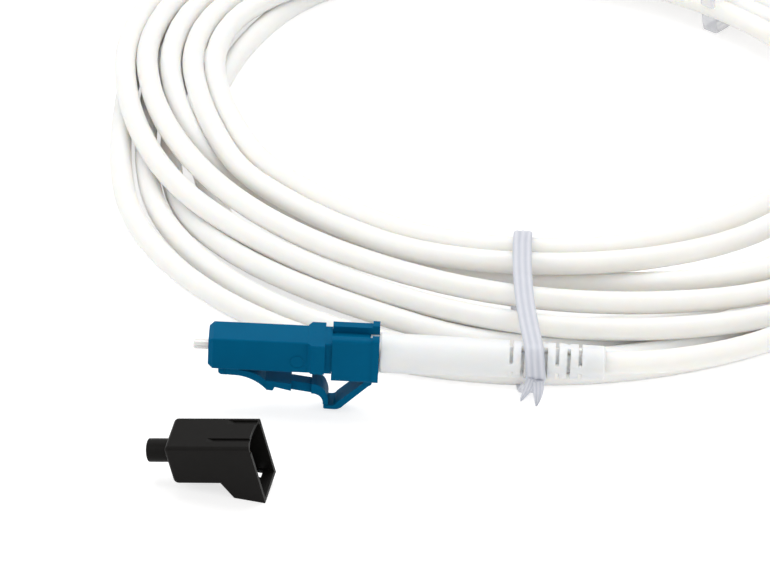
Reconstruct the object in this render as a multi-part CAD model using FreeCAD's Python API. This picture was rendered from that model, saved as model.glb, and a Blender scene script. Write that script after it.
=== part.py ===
"""LC fibre-optic patch cord: a latched plug with its boot, a coiled cord, ties, dust caps and a far plug."""
import FreeCAD, Part
import math
import os

V = FreeCAD.Vector
X_AXIS = V(1, 0, 0)
Y_AXIS = V(0, 1, 0)
Z_AXIS = V(0, 0, 1)

# The origin is the centre of the plug housing's front face, on the ferrule's axis.
# +X runs back along the cord, +Z is up, and the latch is underneath. Millimetres.

# Ferrule assembly
FERRULE_R = 0.625
SEAT_R = 0.42                 # the ferrule's ground seat inside the flange
FERRULE_OUT = 1.95            # how far the tip stands out of the housing
FLANGE_START = 4.02
FLANGE_END = 6.0
FLANGE_R = 1.6
TAIL_R = 1.0                  # the flange's rear tube, inside the spring
TAIL_END = 8.5
SPRING_WIRE_R = 0.16
SPRING_R = 1.36
FIBRE_R = 0.0625
FIBRE_BORE = 0.075
BUFFER_R = 0.45
BUFFER_END = 25.9
SPRING_SEAT = 10.9            # front face of the crimp barrel

# Plug housing
PLUG_HALF = 2.25              # half the 4.5 mm plug square
PLUG_END = 12.65              # seam between the front and rear housings
NOSE_CHAMFER = 0.6
RECESS_R = 1.6                # recess round the ferrule for the adapter's sleeve
RECESS_DEPTH = 3.4
THROAT_R = 1.2                # the bore between the recess and the flange
CAVITY_R = 1.72
MARK_R = 0.95                 # shallow round ejector marks on the sides
MARK_AT = (11.4, -0.6)

# Rear housing
COLLAR_START = 12.95
COLLAR_END = 14.9
COLLAR_HALF = 2.95
COLLAR_TOP = 2.3
COLLAR_BOTTOM = -1.9
BLOCK_HALF = 2.05
BLOCK_END = 20.6

# Trigger clip
CLIP_START = 15.8
CLIP_END = 21.8
CLIP_HALF = 2.5
CLIP_BOTTOM = -3.2
CLIP_TOP = 3.0
RIB_LENGTH = 0.9
RIB_HEIGHT = 0.28
RIB_SIDE = 0.1
SLOT_NEAR = -1.4
SLOT_FAR = 1.0

# Latch and trigger lever
LATCH_PIVOT = (2.75, -2.9)
LATCH_KNUCKLE = 0.55
LATCH_HALF = 1.55
LEVER_PIVOT = (20.55, -3.7)
LEVER_KNUCKLE = 0.5
LEVER_THICK = 0.8
LEVER_HALF = 1.55
HINGE_GAP = 0.03

# Crimp and boot
POST_R = 1.0
POST_END = 27.0
POST_BORE = 0.56
BARREL_R = 1.88               # the barrel's collar, in the housings' joint
BARREL_SHOULDER = 14.4
BARREL_TUBE_R = 1.48
YARN_R = 1.28
SLEEVE_R = 1.6
SLEEVE_END = 28.6
FIT_GAP = 0.02                # clearance of a pressed-in piece in its bore
BOOT_NECK = 2.0               # half the square neck held by the clip
BOOT_START = 20.65
BOOT_SHOULDER = 21.9
BOOT_FRONT_R = 2.6
BOOT_REAR_R = 2.2
BOOT_END = 50.7
END_RING = 3.0                # plain ring behind the last bending slot
SLOT_PITCH = 1.47
SLOT_WIDTH = 0.45
SLOT_ROWS = 7

# Cord
CORD_R = 1.5
JACKET_START = SLEEVE_END + 0.1
LEAD_START = 45.0
TABLE = -8.6                  # height of the surface that the cord lies on

# Dust cap
CAP_LENGTH = 11.35
CAP_HALF = 2.87
CAP_TOP = 3.03
CAP_FLOOR = -3.19
CAP_STEP = 5.0                # where the deeper mouth begins, from the cap's mouth
CAP_DEEP = 2.3                # how much deeper it is there
CAP_DEEPER = 3.2              # and at the mouth itself
CAP_WALL = 0.5
NIPPLE = 3.2
CAP_MOUTH = 5.3               # where the mouth sits on the plug
CAP_AT = (2.06, -20.2)        # the middle of the cap as it lies on the table
CAP_ROLL = 12.7
CAP_PITCH = 11.5
CAP_YAW = -13.9


def box(x0, x1, y0, y1, z0, z1):
    return Part.makeBox(x1 - x0, y1 - y0, z1 - z0, V(x0, y0, z0))


def rod(radius, x0, x1, y=0.0, z=0.0):
    return Part.makeCylinder(radius, x1 - x0, V(x0, y, z), X_AXIS)


def pin(radius, x, z, half_width):
    return Part.makeCylinder(radius, 2 * half_width, V(x, -half_width, z), Y_AXIS)


def outline(steps):
    """A closed wire in the XZ plane. A step of two numbers is a corner, one of four an arc's middle and end."""
    edges = []
    here = V(steps[0][0], 0, steps[0][1])
    for step in steps[1:] + [steps[0]]:
        end = V(step[-2], 0, step[-1])
        if len(step) == 4:
            edges.append(Part.Arc(here, V(step[0], 0, step[1]), end).toShape())
        else:
            edges.append(Part.LineSegment(here, end).toShape())
        here = end
    return Part.Wire(edges)


def profile(steps, half_width, y=0.0):
    """The outline extruded across Y, centred on y."""
    face = Part.Face(outline(steps))
    face.translate(V(0, y - half_width, 0))
    return face.extrude(V(0, 2 * half_width, 0))


def turned(steps):
    """The outline, given as (x, radius), turned about the X axis."""
    return Part.Face(outline(steps)).revolve(V(0, 0, 0), X_AXIS, 360)


def squared(x0, x1, half_y, z0, z1, corner):
    """A square bar along X with its four long edges rounded."""
    bar = box(x0, x1, -half_y, half_y, z0, z1)
    along = [e for e in bar.Edges if abs(e.tangentAt(e.FirstParameter).x) > 0.99]
    return bar.makeFillet(corner, along)


def tapered_bar(x0, x1, half0, half1, corner):
    """A square bar whose half-width changes from half0 to half1, for lead-ins."""
    wires = []
    for x, half in ((x0, half0), (x1, half1)):
        bar = squared(x, x + 1, half, -half, half, corner)
        ends = [f for f in bar.Faces if abs(f.CenterOfMass.x - x) < 1e-6]
        wires.append(ends[0].OuterWire)
    return Part.makeLoft(wires, True, True)


# ---------------------------------------------------------------- ferrule assembly

def ferrule():
    nose = 0.15
    tip = -FERRULE_OUT
    return turned([(tip, FIBRE_BORE), (tip, FERRULE_R - nose), (tip + nose, FERRULE_R),
                   (FLANGE_START, FERRULE_R), (FLANGE_START, SEAT_R), (FLANGE_END, SEAT_R),
                   (FLANGE_END, FIBRE_BORE)])


def ferrule_flange():
    """Hexagonal flange with a coned front, and the tube behind it that guides the spring."""
    hexagon = [V(0, FLANGE_R * math.cos(math.radians(60 * k)), FLANGE_R * math.sin(math.radians(60 * k)))
               for k in range(6)]
    face = Part.Face(Part.makePolygon(hexagon + hexagon[:1]))
    face.translate(V(FLANGE_START, 0, 0))
    head = face.extrude(V(FLANGE_END - FLANGE_START, 0, 0))
    cone = turned([(FLANGE_START, 0), (FLANGE_START, 1.15), (FLANGE_START + 0.45, FLANGE_R),
                   (FLANGE_END, FLANGE_R), (FLANGE_END, 0)])
    tail = rod(TAIL_R, FLANGE_END, TAIL_END)
    body = head.common(cone).fuse(tail)
    body = body.cut(rod(SEAT_R, FLANGE_START - 1, FLANGE_END))
    return body.cut(rod(BUFFER_R, FLANGE_END, TAIL_END + 1))


def spring():
    """Compression spring between the flange and the crimp barrel, its wire bent as short chords."""
    turns = 5
    chords = 14
    start = FLANGE_END + SPRING_WIRE_R
    rise = (SPRING_SEAT - SPRING_WIRE_R - start) / (turns * chords)
    bends = [V(start + rise * k, SPRING_R * math.cos(2 * math.pi * k / chords),
               SPRING_R * math.sin(2 * math.pi * k / chords)) for k in range(turns * chords + 1)]
    path = Part.makePolygon(bends)
    along = bends[1] - bends[0]
    section = Part.makeCircle(SPRING_WIRE_R, bends[0], along)
    corners = section.discretize(7)
    wire = Part.makePolygon(corners[:6] + corners[:1])
    return path.makePipeShell([wire], True, False, 1)


def buffer_tube():
    return rod(BUFFER_R, FLANGE_END, BUFFER_END).cut(rod(FIBRE_R, FLANGE_END - 1, BUFFER_END + 1))


def optical_fibre():
    return rod(FIBRE_R, -FERRULE_OUT, BUFFER_END)


# ---------------------------------------------------------------- plug

def plug_housing():
    """Front housing: the 4.5 mm square, the recess round the ferrule and the latch's root."""
    body = squared(NOSE_CHAMFER, PLUG_END, PLUG_HALF, -PLUG_HALF, PLUG_HALF, 0.22)
    body = body.fuse(tapered_bar(0, NOSE_CHAMFER, PLUG_HALF - 0.4, PLUG_HALF, 0.22))
    px, pz = LATCH_PIVOT
    root = profile([(1.35, -2.0), (1.35, -2.95), (1.5, -3.3, 1.85, -3.45), (px, -3.45), (px, -2.0)], LATCH_HALF)
    root = root.cut(pin(LATCH_KNUCKLE + HINGE_GAP, px, pz, LATCH_HALF + 1))
    body = body.fuse(root)
    mark = pin(MARK_R, *MARK_AT, PLUG_HALF + 1).cut(pin(MARK_R - 0.14, *MARK_AT, PLUG_HALF + 2))
    body = body.cut(mark.cut(pin(MARK_R + 1, *MARK_AT, PLUG_HALF - 0.05)))
    body = body.cut(rod(RECESS_R, -1, RECESS_DEPTH))
    body = body.cut(rod(THROAT_R, RECESS_DEPTH - 0.1, FLANGE_START))
    body = body.cut(rod(CAVITY_R, FLANGE_START - 0.02, SPRING_SEAT))
    return body.cut(rod(BARREL_R + FIT_GAP, SPRING_SEAT, PLUG_END + 1)).removeSplitter()


def rear_housing():
    """Rear housing: the guide collar, the bare square and the block that the clip rides on."""
    body = squared(PLUG_END, CLIP_START - 0.02, PLUG_HALF, -PLUG_HALF, PLUG_HALF, 0.22)
    lead = profile([(PLUG_END + 0.02, COLLAR_BOTTOM), (PLUG_END + 0.02, PLUG_HALF), (COLLAR_START, COLLAR_TOP),
                    (COLLAR_END, COLLAR_TOP), (COLLAR_END, COLLAR_BOTTOM)], COLLAR_HALF)
    plan = Part.makePolygon([V(PLUG_END + 0.02, -PLUG_HALF, -3), V(COLLAR_START + 0.25, -COLLAR_HALF, -3),
                             V(COLLAR_END, -COLLAR_HALF, -3), V(COLLAR_END, COLLAR_HALF, -3),
                             V(COLLAR_START + 0.25, COLLAR_HALF, -3), V(PLUG_END + 0.02, PLUG_HALF, -3),
                             V(PLUG_END + 0.02, -PLUG_HALF, -3)])
    collar = lead.common(Part.Face(plan).extrude(V(0, 0, 6)))
    body = body.fuse(collar)
    body = body.fuse(squared(CLIP_START - 0.02, BLOCK_END, BLOCK_HALF, -BLOCK_HALF, BLOCK_HALF, 0.3))
    body = body.cut(rod(BARREL_R + FIT_GAP, PLUG_END - 1, BARREL_SHOULDER))
    return body.cut(rod(BARREL_TUBE_R + FIT_GAP, BARREL_SHOULDER - 1, BLOCK_END + 1)).removeSplitter()


def crimp_barrel():
    """Metal barrel: the spring's seat, a shoulder, and the post that the aramid is crimped on."""
    mouth = POST_BORE + 0.55
    return turned([(SPRING_SEAT, mouth), (SPRING_SEAT, BARREL_R), (BARREL_SHOULDER, BARREL_R),
                   (BARREL_SHOULDER, BARREL_TUBE_R), (BLOCK_END, BARREL_TUBE_R), (BLOCK_END + 0.4, POST_R),
                   (POST_END, POST_R), (POST_END, POST_BORE), (BARREL_SHOULDER - 1, POST_BORE),
                   (BARREL_SHOULDER - 1.8, mouth)])


def aramid_yarn():
    """Yarn laid over the post and drawn in behind it, under the sleeve."""
    front = BLOCK_END + 0.6
    return turned([(front, POST_R), (front, YARN_R), (SLEEVE_END, YARN_R), (SLEEVE_END, POST_R)])


def crimp_sleeve():
    """Crimped sleeve with three pressed waists over the yarn."""
    front = BLOCK_END + 0.6
    waist = SLEEVE_R - 0.1
    steps = [(front, YARN_R), (front, SLEEVE_R)]
    for k in range(3):
        a = front + 1.1 + 1.7 * k
        steps += [(a, SLEEVE_R), (a + 0.25, waist), (a + 0.85, waist), (a + 1.1, SLEEVE_R)]
    steps += [(SLEEVE_END, SLEEVE_R), (SLEEVE_END, YARN_R)]
    return turned(steps)


def trigger_clip():
    """C-shaped clip round the rear housing, with a raised rim at its back and the lever's root below."""
    body = squared(CLIP_START, CLIP_END, CLIP_HALF, CLIP_BOTTOM, CLIP_TOP, 0.45)
    body = body.fuse(squared(CLIP_END - RIB_LENGTH, CLIP_END, CLIP_HALF + RIB_SIDE, CLIP_BOTTOM,
                             CLIP_TOP + RIB_HEIGHT, 0.45))
    px, pz = LEVER_PIVOT
    root = profile([(px - 0.6, CLIP_BOTTOM + 0.3), (px - 0.6, pz + 0.15), (px + 0.6, pz + 0.15),
                    (px + 0.6, CLIP_BOTTOM + 0.3)], LEVER_HALF)
    body = body.fuse(root)
    body = body.cut(pin(LEVER_KNUCKLE + HINGE_GAP, px, pz, LEVER_HALF + 1))
    body = body.cut(box(CLIP_START - 1, CLIP_END + 1, -BLOCK_HALF, BLOCK_HALF, -BLOCK_HALF, BLOCK_HALF))
    body = body.cut(box(CLIP_START - 1, CLIP_END + 1, SLOT_NEAR, SLOT_FAR, 0, CLIP_TOP + 1))
    return body.removeSplitter()


def latch_arm():
    """Cantilever latch: arm, shoulder lugs, dovetail neck, and the tail that curls down to the trigger."""
    px, pz = LATCH_PIVOT
    arm = profile([(px, pz + LATCH_KNUCKLE), (4.4, -2.72), (6.2, -3.2, 7.6, -4.2), (7.6, -5.43),
                   (6.1, -4.22, 4.0, -3.5), (px, pz - LATCH_KNUCKLE)], LATCH_HALF)
    arm = arm.fuse(pin(LATCH_KNUCKLE, px, pz, LATCH_HALF))
    lug = profile([(7.45, -4.05), (10.75, -4.37), (10.75, -5.42), (8.65, -4.95), (8.4, -5.5), (7.6, -5.43)],
                  LATCH_HALF + 0.07)
    neck_front = Part.makePolygon([V(10.7, -0.82, -4.36), V(10.7, 0.82, -4.36), V(10.7, 1.35, -5.3),
                                   V(10.7, -1.35, -5.3), V(10.7, -0.82, -4.36)])
    neck_back = Part.makePolygon([V(13.5, -0.82, -4.72), V(13.5, 0.82, -4.72), V(13.5, 1.35, -5.68),
                                  V(13.5, -1.35, -5.68), V(13.5, -0.82, -4.72)])
    neck = Part.makeLoft([neck_front, neck_back], True, True)
    tail = profile([(13.35, -4.32), (14.55, -4.62, 15.25, -5.6), (15.5, -6.4, 15.55, -7.15), (15.42, -7.28),
                    (14.97, -7.28), (14.87, -7.15), (14.8, -6.6, 14.5, -6.1), (14.0, -5.8, 13.35, -5.7)], LATCH_HALF)
    return arm.fuse([lug, neck, tail]).removeSplitter()


def trigger_lever():
    """Finger lever from the clip's underside, with the lip that reaches under the latch's tail."""
    px, pz = LEVER_PIVOT
    slant = math.radians(45.4)
    inner = 0.38
    outer = LEVER_THICK - inner
    body = profile([(px - inner * math.sin(slant), pz + inner * math.cos(slant)),
                    (16.6, -6.98), (16.35, -7.3, 15.95, -7.4), (15.1, -7.4), (14.95, -7.65, 15.1, -7.9),
                    (16.3, -7.93), (16.95, -7.8, 17.5, -7.35),
                    (px + outer * math.sin(slant), pz - outer * math.cos(slant))], LEVER_HALF)
    return body.fuse(pin(LEVER_KNUCKLE, px, pz, LEVER_HALF)).removeSplitter()


def boot():
    """Strain-relief boot: square neck inside the clip, plain cone, staggered bending slots, plain end ring."""
    bore = CORD_R + 0.05
    wide = SLEEVE_R + 0.05
    body = turned([(BOOT_SHOULDER, wide), (BOOT_SHOULDER, BOOT_FRONT_R - 0.2), (BOOT_SHOULDER + 0.2, BOOT_FRONT_R),
                   (BOOT_END - 0.25, BOOT_REAR_R), (BOOT_END, BOOT_REAR_R - 0.25), (BOOT_END, bore),
                   (SLEEVE_END + 0.6, bore), (SLEEVE_END + 0.6, wide)])
    neck = squared(BOOT_START, BOOT_SHOULDER, BOOT_NECK, -BOOT_NECK, BOOT_NECK, 0.3)
    body = body.fuse(neck.cut(rod(wide, BOOT_START - 1, BOOT_SHOULDER + 1)))
    reach = BOOT_FRONT_R + 1
    web = 0.5
    for row in range(SLOT_ROWS):
        x = BOOT_END - END_RING - SLOT_WIDTH - SLOT_PITCH * row
        for low, high in ((web, reach), (-reach, -web)):
            across = row % 2
            slot = box(x, x + SLOT_WIDTH, low if across else -reach, high if across else reach,
                       -reach if across else low, reach if across else high)
            body = body.cut(slot)
    return body


# ---------------------------------------------------------------- dust cap

def dust_cap():
    """Hollow cap in its place on the plug: nipple, square body, and a deeper mouth that clears the latch."""
    back = CAP_MOUTH - CAP_LENGTH
    step = CAP_MOUTH - CAP_STEP
    top = CAP_TOP
    floor = CAP_FLOOR
    deep = floor - CAP_DEEP
    deeper = floor - CAP_DEEPER
    body = profile([(back, top - 0.7), (back + 0.2, top - 0.2, back + 0.7, top), (CAP_MOUTH, top),
                    (CAP_MOUTH, deeper), (step + 1.1, deep), (step, floor), (back + 0.7, floor),
                    (back + 0.2, floor + 0.2, back, floor + 0.7)], CAP_HALF)
    along = [e for e in body.Edges if e.Vertexes and abs(e.tangentAt(e.FirstParameter).x) > 0.99]
    body = body.makeFillet(0.45, along)
    body = body.fuse(rod(1.5, back - NIPPLE, back + 0.2))
    inside = CAP_HALF - CAP_WALL
    cavity = profile([(back + 0.8, top - CAP_WALL), (CAP_MOUTH + 1, top - CAP_WALL),
                      (CAP_MOUTH + 1, deeper + CAP_WALL - 0.2), (step + 1.3, deep + CAP_WALL),
                      (step + 0.2, floor + CAP_WALL), (back + 0.8, floor + CAP_WALL)], inside)
    body = body.cut(cavity)
    near = tapered_groove(step - 1.0, -1.6, -1.0)
    far = tapered_groove(step + 1.0, 1.6, 2.3)
    scoop = Part.makeCylinder(10.5, 3, V(CAP_MOUTH + 10.1, 0, top - 1), Z_AXIS)
    window = box(CAP_MOUTH - 2.15, CAP_MOUTH - 1.35, 0.95, 2.2, deeper - 1, deep + 1)
    return body.cut(near).cut(far).cut(scoop).cut(window)


def tapered_groove(start, near, far):
    """A shallow groove in the cap's top, running out of its mouth and fading in at the other end."""
    deepest = CAP_TOP - 0.24
    cut = profile([(start, CAP_TOP), (start + 0.8, deepest), (CAP_MOUTH + 1, deepest), (CAP_MOUTH + 1, CAP_TOP + 1),
                   (start, CAP_TOP + 1)], (far - near) / 2)
    cut.translate(V(0, (near + far) / 2, 0))
    return cut


def cap_on_table():
    """The cap taken off and laid on the table, its mouth propped up on the deeper part."""
    laid = dust_cap()
    laid.translate(V(-(CAP_MOUTH - CAP_LENGTH / 2), 0, 0))
    laid.rotate(V(0, 0, 0), X_AXIS, CAP_ROLL)
    laid.rotate(V(0, 0, 0), Y_AXIS, -CAP_PITCH)
    laid.rotate(V(0, 0, 0), Z_AXIS, CAP_YAW)
    laid.translate(V(CAP_AT[0], CAP_AT[1], TABLE - laid.optimalBoundingBox().ZMin))
    return laid


# ---------------------------------------------------------------- cord

def bent_tube(points, radius):
    """A tube along straight runs joined by tangent arcs, each as large as its runs allow."""
    points = [V(*p) for p in points]
    edges = []
    here = points[0]
    for a, b, c in zip(points, points[1:], points[2:]):
        before = (b - a).normalize()
        after = (c - b).normalize()
        turn = before.getAngle(after)
        setback = 0.45 * min((b - a).Length, (c - b).Length)
        start = b - before * setback
        end = b + after * setback
        inward = (after - before).normalize()
        bend = setback / math.tan(turn / 2)
        middle = b + inward * (bend / math.cos(turn / 2) - bend)
        edges.append(Part.LineSegment(here, start).toShape())
        edges.append(Part.Arc(start, middle, end).toShape())
        here = end
    edges.append(Part.LineSegment(here, points[-1]).toShape())
    path = Part.Wire(edges)
    section = Part.Wire(Part.makeCircle(radius, points[0], (points[1] - points[0]).normalize()))
    return path.makePipeShell([section], True, True)


def jacket_end():
    return rod(CORD_R, JACKET_START, LEAD_START)


def cord_lead():
    """Out of the boot, round towards the bundle and down onto its outermost turns."""
    route = [(LEAD_START, 0.0, 0.0), (53.5, 0.0, 0.0), (62.7, 4.3, -1.2), (71.4, 11.0, -2.6), (79.1, 20.1, -4.0),
             (84.9, 30.5, -5.0)]
    return bent_tube(route, CORD_R)


# The bundle's outermost turn lies on the table and its innermost turn is on top, off centre.
OUTER_TURN = (40.0, 67.5, 61.5)
INNER_TURN = (41.0, 70.5, 45.0)
HOLE_R = 41.5
COIL_HEIGHT = 10.2


def ring_wire(centre_x, centre_y, radius, z):
    return Part.Wire(Part.makeCircle(radius, V(centre_x, centre_y, z), Z_AXIS))


def cord_coil():
    """The outer shape of the bundled turns: wide on the table, drawn in at the top, open in the middle."""
    ox, oy, outer_r = OUTER_TURN
    ix, iy, inner_r = INNER_TURN
    shoulder = TABLE + 2.6
    base = Part.makeCylinder(outer_r, shoulder - TABLE, V(ox, oy, TABLE), Z_AXIS)
    crown = Part.makeLoft([ring_wire(ox, oy, outer_r, shoulder), ring_wire(ix, iy, inner_r, TABLE + COIL_HEIGHT)],
                          True, True)
    hole = Part.makeCylinder(HOLE_R, COIL_HEIGHT + 2, V(ix, iy, TABLE - 1), Z_AXIS)
    return base.fuse(crown).cut(hole).removeSplitter()


def strap(points, thickness, width, slant):
    """A closed band round a convex outline in the YZ plane, centred on x = 0 and leaning by slant per mm of y."""
    outer = Part.makePolygon([V(0, y, z) for y, z in points + points[:1]])
    ring = Part.Face(outer)
    inner = outer.makeOffset2D(-thickness)
    band = ring.cut(Part.Face(inner)).extrude(V(width, 0, 0))
    band.translate(V(-width / 2, 0, 0))
    lean = FreeCAD.Matrix()
    lean.A12 = slant
    return band.transformGeometry(lean)


TIE_AT = BOOT_END - 8.4       # the front tie crosses the boot's slotted end
BACK_TIE_BEARING = 54.4


def coil_tie_front():
    """Clear strap round the bundle and the boot."""
    loop = [(-2.9, -1.5), (-2.9, 1.2), (-1.6, 2.9), (24.5, 2.2), (27.5, 2.2), (29.6, -0.5), (29.2, TABLE + 1.5),
            (27.5, TABLE), (5.0, TABLE), (2.0, TABLE + 1.5), (-2.2, -3.6)]
    band = strap(loop, 0.45, 2.2, -0.08)
    band.translate(V(TIE_AT, 0, 0))
    return band


def coil_tie_back():
    """The same strap at the far side of the bundle."""
    loop = [(-8.95, TABLE), (-8.95, 1.2), (-8.3, 2.05), (-4.8, 2.05), (8.6, -5.5), (8.95, -6.2),
            (8.95, TABLE + 0.6), (8.4, TABLE)]
    band = strap(loop, 0.45, 2.2, 0.0)
    ox, oy, outer_r = OUTER_TURN
    band.rotate(V(0, 0, 0), Z_AXIS, BACK_TIE_BEARING - 90)
    reach = outer_r - 8.5
    bearing = math.radians(BACK_TIE_BEARING)
    band.translate(V(ox + reach * math.cos(bearing), oy + reach * math.sin(bearing), 0))
    return band


# ---------------------------------------------------------------- far end

FAR_ROLL = 90.0               # the far plug lies on its side
FAR_AXIS_Z = TABLE + 3.3
FAR_HEADING = 171.0           # the way the far ferrule points, anticlockwise from +X
FAR_BOOT_AT = (32.0, 136.7)


def at_far_end(shape):
    """Move a piece from the near plug's place to the far plug's."""
    moved = shape.copy()
    moved.translate(V(-BOOT_END, 0, 0))
    moved.rotate(V(0, 0, 0), X_AXIS, FAR_ROLL)
    moved.rotate(V(0, 0, 0), Z_AXIS, FAR_HEADING + 180)
    moved.translate(V(FAR_BOOT_AT[0], FAR_BOOT_AT[1], FAR_AXIS_Z))
    return moved


def far_housing():
    """The far plug's housings and latch, fixed as one piece."""
    px, pz = LATCH_PIVOT
    hinge = pin(LATCH_KNUCKLE + HINGE_GAP, px, pz, LATCH_HALF)
    return plug_housing().fuse([rear_housing(), latch_arm(), hinge]).removeSplitter()


def far_clip():
    """The far plug's clip and lever, fixed as one piece."""
    px, pz = LEVER_PIVOT
    hinge = pin(LEVER_KNUCKLE + HINGE_GAP, px, pz, LEVER_HALF)
    return trigger_clip().fuse([trigger_lever(), hinge]).removeSplitter()


def cord_far_lead():
    """From inside the far boot back to the outside of the bundle."""
    route = [(26.1, 137.6, FAR_AXIS_Z), (35.9, 136.1, FAR_AXIS_Z), (46.2, 132.8, -5.8), (56.1, 128.0, -6.6),
             (65.1, 121.6, -7.0)]
    return bent_tube(route, CORD_R)


# ---------------------------------------------------------------- write the pieces

nodes = {
    "ferrule": ferrule(),
    "ferrule_flange": ferrule_flange(),
    "buffer_tube": buffer_tube(),
    "optical_fibre": optical_fibre(),
    "spring": spring(),
    "plug_housing": plug_housing(),
    "rear_housing": rear_housing(),
    "trigger_clip": trigger_clip(),
    "crimp_barrel": crimp_barrel(),
    "aramid_yarn": aramid_yarn(),
    "crimp_sleeve": crimp_sleeve(),
    "boot": boot(),
    "jacket_end": jacket_end(),
    "latch_arm": latch_arm(),
    "trigger_lever": trigger_lever(),
    "dust_cap": cap_on_table(),
    "cord_lead": cord_lead(),
    "cord_coil": cord_coil(),
    "cord_far_lead": cord_far_lead(),
    "coil_tie_front": coil_tie_front(),
    "coil_tie_back": coil_tie_back(),
    "far_housing": at_far_end(far_housing()),
    "far_clip": at_far_end(far_clip()),
    "far_ferrule": at_far_end(ferrule()),
    "far_boot": at_far_end(boot()),
    "far_dust_cap": at_far_end(dust_cap()),
}

os.makedirs("parts", exist_ok=True)
for name, shape in nodes.items():
    shape.exportStep("parts/" + name + ".step")
    print(name, shape.isValid(), len(shape.Solids), round(shape.Volume, 2))
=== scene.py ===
import math
import bpy
import numpy as np
from mathutils import Matrix, Vector


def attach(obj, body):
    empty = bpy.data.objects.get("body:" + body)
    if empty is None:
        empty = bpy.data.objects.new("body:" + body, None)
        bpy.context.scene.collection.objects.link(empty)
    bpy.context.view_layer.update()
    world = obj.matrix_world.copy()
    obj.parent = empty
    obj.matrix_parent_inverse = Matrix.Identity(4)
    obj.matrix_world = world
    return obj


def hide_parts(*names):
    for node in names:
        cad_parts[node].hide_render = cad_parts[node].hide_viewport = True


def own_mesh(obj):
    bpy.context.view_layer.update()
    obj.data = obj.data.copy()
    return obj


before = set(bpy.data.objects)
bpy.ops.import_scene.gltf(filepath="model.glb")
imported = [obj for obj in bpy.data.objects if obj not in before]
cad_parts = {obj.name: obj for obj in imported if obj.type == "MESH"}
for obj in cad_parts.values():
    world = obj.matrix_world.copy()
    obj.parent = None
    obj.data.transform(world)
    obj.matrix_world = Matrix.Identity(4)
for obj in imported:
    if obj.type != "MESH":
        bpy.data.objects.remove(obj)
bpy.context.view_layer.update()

mm = 0.001


# ---- The view -------------------------------------------------------------
# The part lies on a table and is seen from the front and a third of the way
# up with a long lens, and the camera leans a little to one side.

def look(position, azimuth, elevation, roll, focal):
    """Camera at a position, with azimuth 0 looking along +Y, then turned about its own line of sight."""
    a, e, r = (math.radians(v) for v in (azimuth, elevation, roll))
    back = np.array([math.sin(a) * math.cos(e), -math.cos(a) * math.cos(e), math.sin(e)])
    right = np.array([math.cos(a), math.sin(a), 0.0])
    up = np.cross(back, right)
    leaning_right = math.cos(r) * right + math.sin(r) * up
    leaning_up = -math.sin(r) * right + math.cos(r) * up
    place = Matrix.Identity(4)
    for row in range(3):
        place[row][0] = leaning_right[row]
        place[row][1] = leaning_up[row]
        place[row][2] = back[row]
        place[row][3] = position[row]
    lens = bpy.data.cameras.new("camera")
    lens.sensor_width = 36.0
    lens.lens = focal
    lens.clip_start = 0.01
    camera = bpy.data.objects.new("camera", lens)
    bpy.context.collection.objects.link(camera)
    camera.matrix_world = place
    bpy.context.scene.camera = camera


look(position=(0.02158, -0.6514, 0.4042), azimuth=-0.0512, elevation=31.212, roll=2.752, focal=280.5)
bpy.context.scene.view_settings.view_transform = "Standard"


# ---- The table and the light ----------------------------------------------
# A white sweep under an even dome and four softboxes. Light comes from all
# round, so shadows are faint, and the backdrop is seen as white everywhere.

TABLE = -8.6 * mm
FLOOR_GLOW = 1.7
FLOOR_GLOW_SHARE = 0.4


def colour(hexadecimal):
    """A linear colour from an sRGB hex value."""
    channels = np.array([int(hexadecimal[i:i + 2], 16) for i in (0, 2, 4)]) / 255.0
    linear = np.where(channels <= 0.04045, channels / 12.92, ((channels + 0.055) / 1.055) ** 2.4)
    return (*linear.tolist(), 1.0)


def node(material, kind, settings=None, links=None):
    """Add a shader node. A setting is a property or a socket's value, and a link feeds a socket an output."""
    made = material.node_tree.nodes.new(kind)
    for key, value in (settings or {}).items():
        if key in made.inputs.keys() or isinstance(key, int):
            made.inputs[key].default_value = value
        else:
            setattr(made, key, value)
    for key, output in (links or {}).items():
        material.node_tree.links.new(output, made.inputs[key])
    return made


def blank(name):
    material = bpy.data.materials.new(name)
    material.use_nodes = True
    material.node_tree.nodes.clear()
    return material


def seen_rays(material):
    """1 for rays that show the backdrop, straight, mirrored or through clear plastic, and 0 for light."""
    path = node(material, "ShaderNodeLightPath")
    seen = path.outputs["Is Camera Ray"]
    for kind in ("Is Glossy Ray", "Is Transmission Ray"):
        seen = node(material, "ShaderNodeMath", {"operation": "MAXIMUM"},
                    {0: seen, 1: path.outputs[kind]}).outputs[0]
    return seen


def white_sweep():
    """White paper. It is seen nearly at full white, and keeps a little of the shadow."""
    material = blank("white_paper_sweep")
    paper = node(material, "ShaderNodeBsdfDiffuse", {"Color": (0.92, 0.92, 0.92, 1.0)})
    glow = node(material, "ShaderNodeEmission", {"Color": (1.0, 1.0, 1.0, 1.0), "Strength": FLOOR_GLOW})
    share = node(material, "ShaderNodeMath", {"operation": "MULTIPLY", 1: FLOOR_GLOW_SHARE},
                 {0: seen_rays(material)})
    both = node(material, "ShaderNodeMixShader", None,
                {0: share.outputs[0], 1: paper.outputs[0], 2: glow.outputs[0]})
    node(material, "ShaderNodeOutputMaterial", None, {"Surface": both.outputs[0]})
    return material


def floor(half):
    mesh = bpy.data.meshes.new("floor")
    mesh.from_pydata([(-half, -half, TABLE), (half, -half, TABLE), (half, half, TABLE), (-half, half, TABLE)],
                     [], [(0, 1, 2, 3)])
    mesh.materials.append(white_sweep())
    sweep = bpy.data.objects.new("floor", mesh)
    bpy.context.collection.objects.link(sweep)


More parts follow.
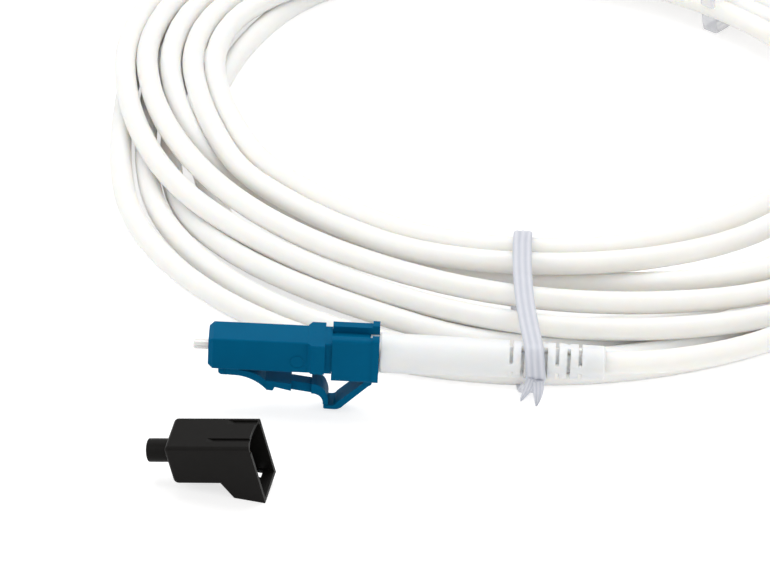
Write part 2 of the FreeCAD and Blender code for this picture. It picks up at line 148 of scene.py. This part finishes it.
def sky(brightness):
    """An even dome that lights a little warm and is seen as plain white."""
    world = bpy.data.worlds.new("dome")
    bpy.context.scene.world = world
    world.use_nodes = True
    world.node_tree.nodes.clear()
    dome = node(world, "ShaderNodeBackground", {"Color": (1.0, 0.985, 0.965, 1.0), "Strength": brightness})
    white = node(world, "ShaderNodeBackground", {"Color": (1.0, 1.0, 1.0, 1.0), "Strength": 1.0})
    both = node(world, "ShaderNodeMixShader", None,
                {0: seen_rays(world), 1: dome.outputs[0], 2: white.outputs[0]})
    node(world, "ShaderNodeOutputWorld", None, {"Surface": both.outputs[0]})


def softbox(name, position, aim, size, power):
    lamp = bpy.data.lights.new(name, "AREA")
    lamp.shape = "RECTANGLE"
    lamp.size, lamp.size_y = size
    lamp.energy = power
    box = bpy.data.objects.new(name, lamp)
    bpy.context.collection.objects.link(box)
    towards = Vector(aim) - Vector(position)
    box.matrix_world = Matrix.Translation(position) @ towards.to_track_quat("-Z", "Y").to_matrix().to_4x4()


floor(half=3.0)
sky(brightness=0.52)
softbox("overhead", position=(0.03, 0.22, 0.60), aim=(0.03, 0.05, 0.0), size=(0.60, 0.45), power=2.35)
softbox("window_left", position=(-0.55, -0.25, 0.35), aim=(0.02, 0.02, 0.0), size=(0.40, 0.35), power=0.9)
softbox("window_right", position=(0.60, -0.30, 0.25), aim=(0.04, 0.02, 0.0), size=(0.35, 0.30), power=0.5)
softbox("front_fill", position=(0.0, -0.70, 0.12), aim=(0.03, 0.0, 0.0), size=(0.50, 0.25), power=0.5)


# ---- The cord -------------------------------------------------------------
# Three metres of 3 mm simplex cord in a white PVC jacket, wound by hand into
# nine turns that the ties pinch together at the front and at the back.

CORD_WIDE = 3.0 * mm
HUB = np.array([40.0, 64.5])

# Where each turn lies, from the first that the plug's lead joins to the last: its distance from the hub
# and its height, both in millimetres, at eleven bearings round the coil and at one more of its own.
BEARINGS = [45.0, 90.0, 120.0, 150.0, 165.0, 180.0, 203.0, 225.0, 247.0, 270.0, 290.0]
TURNS = [
    ((61.8, -4.6), (64.0, -4.5), (65.8, -4.4), (63.4, -4.4), (57.7, -4.4), (53.5, -4.3), (49.8, -3.9),
     (47.4, -3.5), (46.9, -3.9), (49.0, -4.3), (52.0, -4.3), (55.3, -4.3), 306.1),
    ((58.2, -4.5), (60.3, -4.5), (62.4, -4.4), (60.3, -4.3), (54.5, -4.0), (49.9, -3.2), (46.2, -2.2),
     (45.0, -1.6), (44.2, -1.9), (45.9, -2.1), (48.0, -2.6), (51.8, -3.2), 309.1),
    ((55.0, -4.5), (57.0, -4.5), (59.2, -4.3), (56.8, -4.3), (50.9, -4.2), (46.5, -4.4), (40.9, -5.2),
     (38.6, -4.2), (38.0, -3.9), (38.9, -3.4), (41.6, -3.4), (48.3, -2.4), 312.7),
    ((52.0, -4.5), (54.0, -4.5), (56.1, -4.3), (53.3, -4.1), (47.6, -3.6), (43.4, -2.9), (41.6, -2.0),
     (39.8, -1.2), (40.2, -0.9), (40.2, -0.4), (40.7, -0.4), (42.0, -1.5), 321.8),
    ((49.0, -4.5), (51.0, -4.5), (52.8, -4.4), (50.0, -4.3), (44.3, -3.8), (40.3, -2.8), (38.3, -1.4),
     (36.7, -0.6), (37.2, -0.1), (37.0, 0.0), (37.4, 0.0), (38.9, -0.6), 328.2),
    ((53.5, -7.1), (55.5, -7.1), (54.4, -7.1), (47.0, -7.1), (44.6, -7.1), (44.3, -7.1), (45.0, -7.2),
     (46.9, -7.1), (46.6, -7.1), (45.6, -7.1), (46.2, -7.1), (46.9, -7.1), 318.0),
    ((56.5, -7.1), (58.5, -7.1), (57.6, -7.1), (54.4, -7.1), (49.6, -7.1), (48.2, -7.1), (50.0, -6.9),
     (50.2, -5.3), (49.8, -5.4), (50.5, -7.1), (49.9, -7.1), (50.4, -7.1), 318.0),
    ((59.8, -7.1), (61.9, -7.1), (60.8, -7.1), (57.6, -7.1), (53.3, -7.1), (51.7, -7.1), (53.2, -7.1),
     (53.7, -7.0), (53.9, -7.0), (53.6, -7.1), (53.2, -7.1), (53.5, -7.1), 318.0),
    ((63.2, -7.1), (65.5, -7.1), (64.1, -7.1), (61.0, -7.1), (56.9, -7.1), (55.1, -7.1), (57.0, -7.1),
     (57.8, -7.1), (57.8, -7.1), (57.1, -7.1), (56.6, -7.1), (56.6, -7.1), 312.0),
]


def eased(angles, known_angles, known):
    """Cubic Hermite between known values, each slope the chord's between its neighbours."""
    slopes = np.gradient(known, known_angles)
    i = np.clip(np.searchsorted(known_angles, angles) - 1, 0, len(known_angles) - 2)
    gap = known_angles[i + 1] - known_angles[i]
    t = (angles - known_angles[i]) / gap
    return ((2 * t ** 3 - 3 * t ** 2 + 1) * known[i] + (t ** 3 - 2 * t ** 2 + t) * gap * slopes[i]
            + (3 * t ** 2 - 2 * t ** 3) * known[i + 1] + (t ** 3 - t ** 2) * gap * slopes[i + 1])


def wound(first, last, step):
    """Points of the coil, a step of bearing apart. First and last are a bearing, a distance and a height,
    and the turns' places come one after another between them. Nothing dips below the table."""
    known = [first]
    for k, turn in enumerate(TURNS):
        bearings = BEARINGS + [turn[-1]]
        known += [(360.0 * k + bearing, away, high) for bearing, (away, high) in zip(bearings, turn)]
    known = np.array(known + [last])
    at = np.arange(first[0], last[0], step)
    turned = np.radians(at)
    away = eased(at, known[:, 0], known[:, 1])
    high = np.maximum(eased(at, known[:, 0], known[:, 2]), (TABLE + CORD_WIDE / 2) / mm)
    return np.column_stack([HUB[0] + away * np.cos(turned), HUB[1] + away * np.sin(turned), high])


def cord_route():
    lead = [(45.0, 0.0, 0.0), (53.5, 0.0, 0.0), (62.7, 4.3, -1.2), (71.4, 11.0, -2.6), (79.1, 20.1, -4.0),
            (84.9, 30.5, -5.0)]
    far_lead = [(65.1, 121.6, -7.0), (56.1, 128.0, -6.6), (46.2, 132.8, -5.8), (35.9, 136.1, -5.3),
                (26.1, 137.6, -5.3)]
    coil = wound(first=(-22.0, 58.2, -5.6), last=(360.0 * len(TURNS) + 45.0, 62.5, -7.1), step=15.0)
    return np.concatenate([lead, coil, far_lead]) * mm


def jacket():
    """White PVC: slightly warm, satin, with the faint ripple of an extruded jacket."""
    material = blank("white_pvc_jacket")
    place = node(material, "ShaderNodeTexCoord")
    ripple = node(material, "ShaderNodeTexNoise",
                  {"Scale": 1.0 / (2.2 * mm), "Detail": 3.0, "Roughness": 0.55},
                  {"Vector": place.outputs["Object"]})
    tone = node(material, "ShaderNodeValToRGB", None, {"Fac": ripple.outputs["Fac"]})
    tone.color_ramp.elements[0].color = colour("F6F3EF")
    tone.color_ramp.elements[1].color = colour("FBF9F6")
    skin = node(material, "ShaderNodeTexNoise", {"Scale": 1.0 / (0.12 * mm), "Detail": 2.0},
                {"Vector": place.outputs["Object"]})
    bump = node(material, "ShaderNodeBump", {"Strength": 0.08, "Distance": 0.02 * mm},
                {"Height": skin.outputs["Fac"]})
    shader = node(material, "ShaderNodeBsdfPrincipled",
                  {"Roughness": 0.45, "IOR": 1.5, "Subsurface Weight": 1.0, "Subsurface Scale": 2.0 * mm,
                   "Subsurface Radius": (1.0, 0.85, 0.7)},
                  {"Base Color": tone.outputs["Color"], "Normal": bump.outputs["Normal"]})
    node(material, "ShaderNodeOutputMaterial", None, {"Surface": shader.outputs[0]})
    return material


def dress(material, *cad_nodes):
    """Give CAD pieces their finish."""
    for name in cad_nodes:
        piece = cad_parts[name]
        piece.data.materials.clear()
        piece.data.materials.append(material)


def cord(material):
    line = bpy.data.curves.new("cord", "CURVE")
    line.dimensions = "3D"
    route = cord_route()
    spline = line.splines.new("NURBS")
    spline.points.add(len(route) - 1)
    spline.points.foreach_set("co", np.column_stack([route, np.ones(len(route))]).ravel())
    spline.order_u = 3
    spline.use_endpoint_u = True
    spline.resolution_u = 4
    line.bevel_depth = CORD_WIDE / 2
    line.bevel_resolution = 5
    line.use_fill_caps = True
    line.materials.append(material)
    piece = bpy.data.objects.new("cord", line)
    bpy.context.collection.objects.link(piece)
    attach(piece, "connector")
    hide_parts("cord_lead", "cord_coil", "cord_far_lead")
    return piece


white_jacket = jacket()
cord_piece = cord(white_jacket)
dress(white_jacket, "jacket_end")


# ---- The ties -------------------------------------------------------------
# Soft clear PVC strap with three ribs along it. The front one holds the coil to
# the plug's boot and its two cut ends hang there; the back one holds the coil.

STRAP_WIDE = 2.5 * mm
STRAP_THICK = 0.5 * mm
RIB_HIGH = 0.12 * mm
STRAP_SECTION = 40
SAMPLES_PER_SPAN = 24
TIP_LOSS = 0.8


def clear_strap(name, dense):
    """Bluish and cloudy, with painted shade in the grooves between the ribs and a painted highlight along
    their crests.
    How dense it looks is the strap's own: the back one is a single layer that lets the white through."""
    material = blank(name)
    place = node(material, "ShaderNodeTexCoord")
    # This attribute, each corner's height up the ribs, paints shade in the grooves and a highlight along the
    # crests.
    rib_shade = node(material, "ShaderNodeAttribute", {"attribute_name": "rib_shade"})
    cloud = node(material, "ShaderNodeTexNoise", {"Scale": 1.0 / (1.5 * mm), "Detail": 2.0},
                 {"Vector": place.outputs["Object"]})
    uneven = node(material, "ShaderNodeMapRange", {"To Min": -0.15, "To Max": 0.15},
                  {"Value": cloud.outputs["Fac"]})
    both = node(material, "ShaderNodeMath", {"operation": "ADD"},
                {0: rib_shade.outputs["Fac"], 1: uneven.outputs["Result"]})
    tone = node(material, "ShaderNodeValToRGB", None, {"Fac": both.outputs["Value"]})
    # Painted groove shade at the low end, painted crest highlight at the high end, shifted a little by random
    # cloud.
    tone.color_ramp.elements[0].color = colour("D4D8E3")
    tone.color_ramp.elements[1].color = colour("EBEDF5")
    shader = node(material, "ShaderNodeBsdfPrincipled",
                  {"Roughness": 0.28, "Transmission Weight": 0.2, "IOR": 1.35, "Alpha": dense},
                  {"Base Color": tone.outputs["Color"]})
    node(material, "ShaderNodeOutputMaterial", None, {"Surface": shader.outputs[0]})
    return material


def smooth_through(points, count, closed):
    """Evenly spaced places on a Catmull-Rom curve through the points."""
    points = np.array(points)
    if closed:
        around = np.vstack([points[-1], points, points[0], points[1]])
    else:
        around = np.vstack([2 * points[0] - points[1], points, 2 * points[-1] - points[-2]])
    t = np.linspace(0.0, 1.0, SAMPLES_PER_SPAN, endpoint=False)[:, None]
    fine = []
    for p, q, r, s in zip(around[:-3], around[1:-2], around[2:-1], around[3:]):
        fine.append(0.5 * (2 * q + (r - p) * t + (2 * p - 5 * q + 4 * r - s) * t ** 2
                           + (3 * q - p - 3 * r + s) * t ** 3))
    fine = np.vstack(fine + [points[:1] if closed else points[-1:]])
    run = np.concatenate([[0.0], np.cumsum(np.linalg.norm(np.diff(fine, axis=0), axis=1))])
    at = np.linspace(0.0, run[-1], count, endpoint=not closed)
    return np.column_stack([np.interp(at, run, fine[:, k]) for k in range(3)])


def strap(points, across, count, closed, share=1.0):
    """A ribbon swept along a curve. Its section is a flat oval whose outer face has three ribs:
    height over width u in -1..1 is half the thickness times sqrt(1 - u^6), and the outer face
    adds a squared cosine of three half waves. Nothing dips below the table. A cut end starts
    a share as wide and narrows towards its tip. Each corner also says how high up the ribs it sits,
    for the painted shade in the grooves and the painted highlight on the crests."""
    way = smooth_through(points, count, closed) * mm
    ahead = np.roll(way, -1, axis=0) - np.roll(way, 1, axis=0) if closed else np.gradient(way, axis=0)
    ahead /= np.linalg.norm(ahead, axis=1)[:, None]
    wide = across - ahead * (ahead @ across)[:, None]
    wide /= np.linalg.norm(wide, axis=1)[:, None]
    out = np.cross(ahead, wide)
    n = STRAP_SECTION
    turn = np.linspace(0.0, 2 * np.pi, n, endpoint=False)
    u = np.cos(turn)
    face = np.sign(np.sin(turn)) * np.sqrt(np.clip(1.0 - u ** 6, 0.0, None)) * STRAP_THICK / 2
    # This height up the ribs shapes them and is also handed back per corner, for the painted groove shade and
    # crest highlight.
    rise = np.where(np.sin(turn) > 0.0, np.cos(1.5 * np.pi * u) ** 2, 0.5)
    ribs = np.where(np.sin(turn) > 0.0, RIB_HIGH * rise, 0.0)
    fit = np.full(count, share) if closed else share * (1.0 - TIP_LOSS * np.linspace(0.0, 1.0, count) ** 2)
    rings = (way[:, None, :] + wide[:, None, :] * (u * STRAP_WIDE / 2)[None, :, None] * fit[:, None, None]
             + out[:, None, :] * (face + ribs * np.abs(np.sin(turn)))[None, :, None])
    corners = rings.reshape(-1, 3)
    corners[:, 2] = np.maximum(corners[:, 2], TABLE)
    faces = [(r * n + k, r * n + (k + 1) % n, (r + 1) % count * n + (k + 1) % n, (r + 1) % count * n + k)
             for r in range(count if closed else count - 1) for k in range(n)]
    if not closed:
        faces += [tuple(range(n))[::-1], tuple((count - 1) * n + k for k in range(n))]
    return corners, faces, np.tile(rise, count)


def free_piece(name, corners, faces, material, cad_node):
    """A mesh piece that rides with the plug and stands for a CAD node."""
    mesh = bpy.data.meshes.new(name)
    mesh.from_pydata(corners.tolist(), [], faces)
    mesh.materials.append(material)
    piece = bpy.data.objects.new(name, mesh)
    bpy.context.collection.objects.link(piece)
    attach(piece, "connector")
    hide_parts(cad_node)
    return piece


def tie(name, plastic, parts):
    corners, faces, rib_shade_levels = [], [], []
    for part_corners, part_faces, rise in parts:
        start = sum(len(c) for c in corners)
        corners.append(part_corners)
        faces += [tuple(start + i for i in face) for face in part_faces]
        rib_shade_levels.append(rise)
    piece = free_piece(name, np.vstack(corners), faces, plastic, name)
    # Each corner's height up the ribs, for the painted groove shade and crest highlight.
    rib_shade = piece.data.attributes.new("rib_shade", "FLOAT", "POINT")
    rib_shade.data.foreach_set("value", np.concatenate(rib_shade_levels))
    for face in piece.data.polygons:
        face.use_smooth = True
    return piece


front = [(40.0, 29.9, -1.5), (40.0, 29.8, 0.8), (40.0, 28.2, 1.95), (39.9, 25.6, 2.0), (39.9, 22.0, 2.0),
         (40.0, 17.0, 2.0), (40.3, 11.0, 2.1), (40.9, 4.0, 2.45), (41.2, 1.2, 2.6), (41.5, -1.2, 2.35),
         (41.7, -2.5, 1.0), (41.9, -2.6, -0.9), (41.7, -1.2, -3.0), (41.4, 2.4, -5.4), (41.1, 5.4, -8.0),
         (40.8, 10.0, -8.35), (40.5, 16.0, -8.35), (40.2, 25.0, -8.35), (40.1, 27.6, -8.1),
         (40.0, 29.0, -6.6), (40.0, 29.6, -4.0)]
left_end = [(41.5, -2.9, -1.0), (41.1, -2.9, -2.4), (40.6, -2.2, -3.9), (40.2, -1.6, -5.0)]
right_end = [(42.2, -3.1, -1.2), (42.3, -3.1, -2.6), (42.3, -2.6, -4.2), (42.2, -2.0, -5.4)]
plug_axis = np.array([1.0, 0.0, 0.0])
front_tie = tie("coil_tie_front", clear_strap("doubled_clear_pvc_strap", dense=1.0), [
    strap(front, plug_axis, 150, closed=True),
    strap(left_end, plug_axis, 24, closed=False, share=0.5),
    strap(right_end, plug_axis, 24, closed=False, share=0.6)])

# The back loop stands upright on a bearing, at a distance from its own hub and a height along it.
BACK_HUB = np.array([40.0, 67.5])
BACK_BEARING = math.radians(54.4)
outward = np.array([math.cos(BACK_BEARING), math.sin(BACK_BEARING), 0.0])
back = [(46.5, -7.9), (45.5, -4.0), (44.6, 0.6), (45.1, 1.75), (46.6, 1.8), (48.6, 1.6), (52.5, -0.7),
        (57.0, -3.3), (61.0, -5.5), (61.7, -6.3), (61.7, -7.6), (60.8, -8.35), (53.0, -8.35), (47.4, -8.35)]
back_places = [(BACK_HUB[0] + away * outward[0], BACK_HUB[1] + away * outward[1], high) for away, high in back]
back_tie = tie("coil_tie_back", clear_strap("clear_pvc_strap", dense=0.35), [
    strap(back_places, np.cross(outward, (0.0, 0.0, 1.0)), 110, closed=True)])


# ---- Plug mouldings -------------------------------------------------------
# The housings, the latch, the clip and its lever are injection-moulded in
# blue thermoplastic, with a satin skin from the mould.

def moulded_blue():
    """Opaque blue PBT with a faint flow pattern and the fine grain of a spark-eroded mould."""
    material = blank("moulded_blue_pbt")
    place = node(material, "ShaderNodeTexCoord")
    flow = node(material, "ShaderNodeTexNoise", {"Scale": 1.0 / (3.0 * mm), "Detail": 2.0},
                {"Vector": place.outputs["Object"]})
    tone = node(material, "ShaderNodeValToRGB", None, {"Fac": flow.outputs["Fac"]})
    tone.color_ramp.elements[0].color = colour("00597F")
    tone.color_ramp.elements[1].color = colour("005E86")
    spark = node(material, "ShaderNodeTexNoise", {"Scale": 1.0 / (0.06 * mm), "Detail": 2.0},
                 {"Vector": place.outputs["Object"]})
    bump = node(material, "ShaderNodeBump", {"Strength": 0.12, "Distance": 0.01 * mm},
                {"Height": spark.outputs["Fac"]})
    shader = node(material, "ShaderNodeBsdfPrincipled",
                  {"Roughness": 0.42, "IOR": 1.5, "Specular IOR Level": 0.025, "Subsurface Weight": 0.25,
                   "Subsurface Scale": 0.5 * mm, "Subsurface Radius": (0.2, 0.8, 1.0)},
                  {"Base Color": tone.outputs["Color"], "Normal": bump.outputs["Normal"]})
    node(material, "ShaderNodeOutputMaterial", None, {"Surface": shader.outputs[0]})
    return material


dress(moulded_blue(), "plug_housing", "rear_housing", "trigger_clip", "latch_arm", "trigger_lever",
      "far_housing", "far_clip")


# ---- Ferrules -------------------------------------------------------------
# A ground and polished zirconia rod, white and slightly translucent, with a
# faint cloud in it.

def zirconia():
    material = blank("polished_zirconia")
    place = node(material, "ShaderNodeTexCoord")
    cloud = node(material, "ShaderNodeTexNoise", {"Scale": 1.0 / (0.8 * mm)},
                 {"Vector": place.outputs["Object"]})
    tone = node(material, "ShaderNodeValToRGB", None, {"Fac": cloud.outputs["Fac"]})
    tone.color_ramp.elements[0].color = colour("E6E6E3")
    tone.color_ramp.elements[1].color = colour("EEEEEC")
    shader = node(material, "ShaderNodeBsdfPrincipled",
                  {"Roughness": 0.12, "IOR": 2.1, "Subsurface Weight": 0.2, "Subsurface Scale": 0.3 * mm},
                  {"Base Color": tone.outputs["Color"]})
    node(material, "ShaderNodeOutputMaterial", None, {"Surface": shader.outputs[0]})
    return material


dress(zirconia(), "ferrule", "far_ferrule")


# ---- Inner metal ----------------------------------------------------------
# Nickel-plated turned brass parts and a wire spring, inside the housings. The
# spring pushes on the ferrule's flange and shortens as the ferrule goes back.

SPRING_FRONT = 6 * mm
SPRING_SEAT = 10.9 * mm
SPRING_RADIUS = 1.36 * mm
SPRING_TURNS = 5
STEPS_PER_TURN = 36
WIRE = 0.16 * mm
WIRE_SECTION = 10


def plated_metal():
    """Nickel plate over turned brass, unevenly satin."""
    material = blank("nickel_plated_brass")
    place = node(material, "ShaderNodeTexCoord")
    turned = node(material, "ShaderNodeTexNoise", {"Scale": 1.0 / (0.15 * mm)},
                  {"Vector": place.outputs["Object"]})
    rough = node(material, "ShaderNodeMapRange", {"To Min": 0.22, "To Max": 0.34},
                 {"Value": turned.outputs["Fac"]})
    shader = node(material, "ShaderNodeBsdfPrincipled", {"Base Color": colour("C9C8C2"), "Metallic": 1.0},
                  {"Roughness": rough.outputs["Result"]})
    node(material, "ShaderNodeOutputMaterial", None, {"Surface": shader.outputs[0]})
    return material


def compression_spring(metal):
    """A round wire wound on a cylinder, at an even pitch between its two seats. Its section is a ring of
    points square to the wire, and both its ends are closed."""
    steps, n = SPRING_TURNS * STEPS_PER_TURN, WIRE_SECTION
    turned = np.linspace(0.0, SPRING_TURNS * 2 * np.pi, steps + 1)
    rise = (SPRING_SEAT - SPRING_FRONT - 2 * WIRE) / turned[-1]
    spoke = np.column_stack([np.zeros_like(turned), np.cos(turned), np.sin(turned)])
    line = spoke * SPRING_RADIUS
    line[:, 0] = SPRING_FRONT + WIRE + rise * turned
    ahead = np.gradient(line, axis=0)
    ahead /= np.linalg.norm(ahead, axis=1)[:, None]
    side = np.cross(ahead, spoke)
    ring = np.linspace(0.0, 2 * np.pi, n, endpoint=False)
    corners = (line[:, None, :] + WIRE * (np.cos(ring)[None, :, None] * spoke[:, None, :]
                                          + np.sin(ring)[None, :, None] * side[:, None, :]))
    faces = [(r * n + k, r * n + (k + 1) % n, (r + 1) * n + (k + 1) % n, (r + 1) * n + k)
             for r in range(steps) for k in range(n)]
    faces += [tuple(range(n))[::-1], tuple(steps * n + k for k in range(n))]
    piece = free_piece("compression_spring", corners.reshape(-1, 3), faces, metal, "spring")
    for face in piece.data.polygons:
        face.use_smooth = len(face.vertices) == 4
    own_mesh(piece)


nickel = plated_metal()
dress(nickel, "ferrule_flange", "crimp_barrel", "crimp_sleeve")
compression_spring(nickel)


# ---- Boots ----------------------------------------------------------------
# A soft white thermoplastic elastomer sleeve, matte, with bending slots.

def elastomer():
    """White TPE: light sinks into it, and its skin has a fine dry grain."""
    material = blank("white_elastomer")
    place = node(material, "ShaderNodeTexCoord")
    grain = node(material, "ShaderNodeTexNoise", {"Scale": 1.0 / (0.1 * mm), "Detail": 3.0},
                 {"Vector": place.outputs["Object"]})
    tone = node(material, "ShaderNodeValToRGB", None, {"Fac": grain.outputs["Fac"]})
    tone.color_ramp.elements[0].color = colour("F5F4F0")
    tone.color_ramp.elements[1].color = colour("FCFBF7")
    bump = node(material, "ShaderNodeBump", {"Strength": 0.1, "Distance": 0.01 * mm},
                {"Height": grain.outputs["Fac"]})
    shader = node(material, "ShaderNodeBsdfPrincipled",
                  {"Roughness": 0.5, "Subsurface Weight": 1.0, "Subsurface Scale": 1.5 * mm,
                   "Subsurface Radius": (1.0, 0.85, 0.7)},
                  {"Base Color": tone.outputs["Color"], "Normal": bump.outputs["Normal"]})
    node(material, "ShaderNodeOutputMaterial", None, {"Surface": shader.outputs[0]})
    return material


dress(elastomer(), "boot", "far_boot")


# ---- Dust caps ------------------------------------------------------------
# Thin-walled black polyethylene caps, satin, with a deeper mouth for the latch.

def black_polyethylene():
    """Black LDPE with an uneven haze on its skin."""
    material = blank("black_polyethylene")
    place = node(material, "ShaderNodeTexCoord")
    haze = node(material, "ShaderNodeTexNoise", {"Scale": 1.0 / (1.4 * mm), "Detail": 3.0},
                {"Vector": place.outputs["Object"]})
    tone = node(material, "ShaderNodeValToRGB", None, {"Fac": haze.outputs["Fac"]})
    tone.color_ramp.elements[0].color = colour("141312")
    tone.color_ramp.elements[1].color = colour("1A1918")
    rough = node(material, "ShaderNodeMapRange", {"To Min": 0.34, "To Max": 0.46},
                 {"Value": haze.outputs["Fac"]})
    shader = node(material, "ShaderNodeBsdfPrincipled", {"IOR": 1.5, "Specular IOR Level": 0.06},
                  {"Base Color": tone.outputs["Color"], "Roughness": rough.outputs["Result"]})
    node(material, "ShaderNodeOutputMaterial", None, {"Surface": shader.outputs[0]})
    return material


dress(black_polyethylene(), "dust_cap", "far_dust_cap")


# ---- Fibre, buffer and yarn -----------------------------------------------
# Inside the plug: a bare silica fibre, a tight white nylon buffer, and a
# yellow aramid yarn that the crimp grips.

ALONG_STRETCH = 0.08


def drawn(name, light, dark, roughness, clear, grain):
    """Drawn material: its tone runs in fine streaks along the cord."""
    material = blank(name)
    place = node(material, "ShaderNodeTexCoord")
    along = node(material, "ShaderNodeMapping", {"Scale": (ALONG_STRETCH, 1.0, 1.0)},
                 {"Vector": place.outputs["Object"]})
    streak = node(material, "ShaderNodeTexNoise", {"Scale": 1.0 / grain, "Detail": 2.0},
                  {"Vector": along.outputs["Vector"]})
    tone = node(material, "ShaderNodeValToRGB", None, {"Fac": streak.outputs["Fac"]})
    tone.color_ramp.elements[0].color = colour(dark)
    tone.color_ramp.elements[1].color = colour(light)
    shader = node(material, "ShaderNodeBsdfPrincipled", {"Roughness": roughness, "Transmission Weight": clear},
                  {"Base Color": tone.outputs["Color"]})
    node(material, "ShaderNodeOutputMaterial", None, {"Surface": shader.outputs[0]})
    return material


dress(drawn("fused_silica_fibre", "F4F6F8", "E6E9EC", 0.08, 0.8, 0.05 * mm), "optical_fibre")
dress(drawn("white_nylon_buffer", "F0EFEA", "E4E2DC", 0.4, 0.0, 0.2 * mm), "buffer_tube")
dress(drawn("yellow_aramid_yarn", "E8CF6A", "C9A93F", 0.6, 0.0, 0.08 * mm), "aramid_yarn")
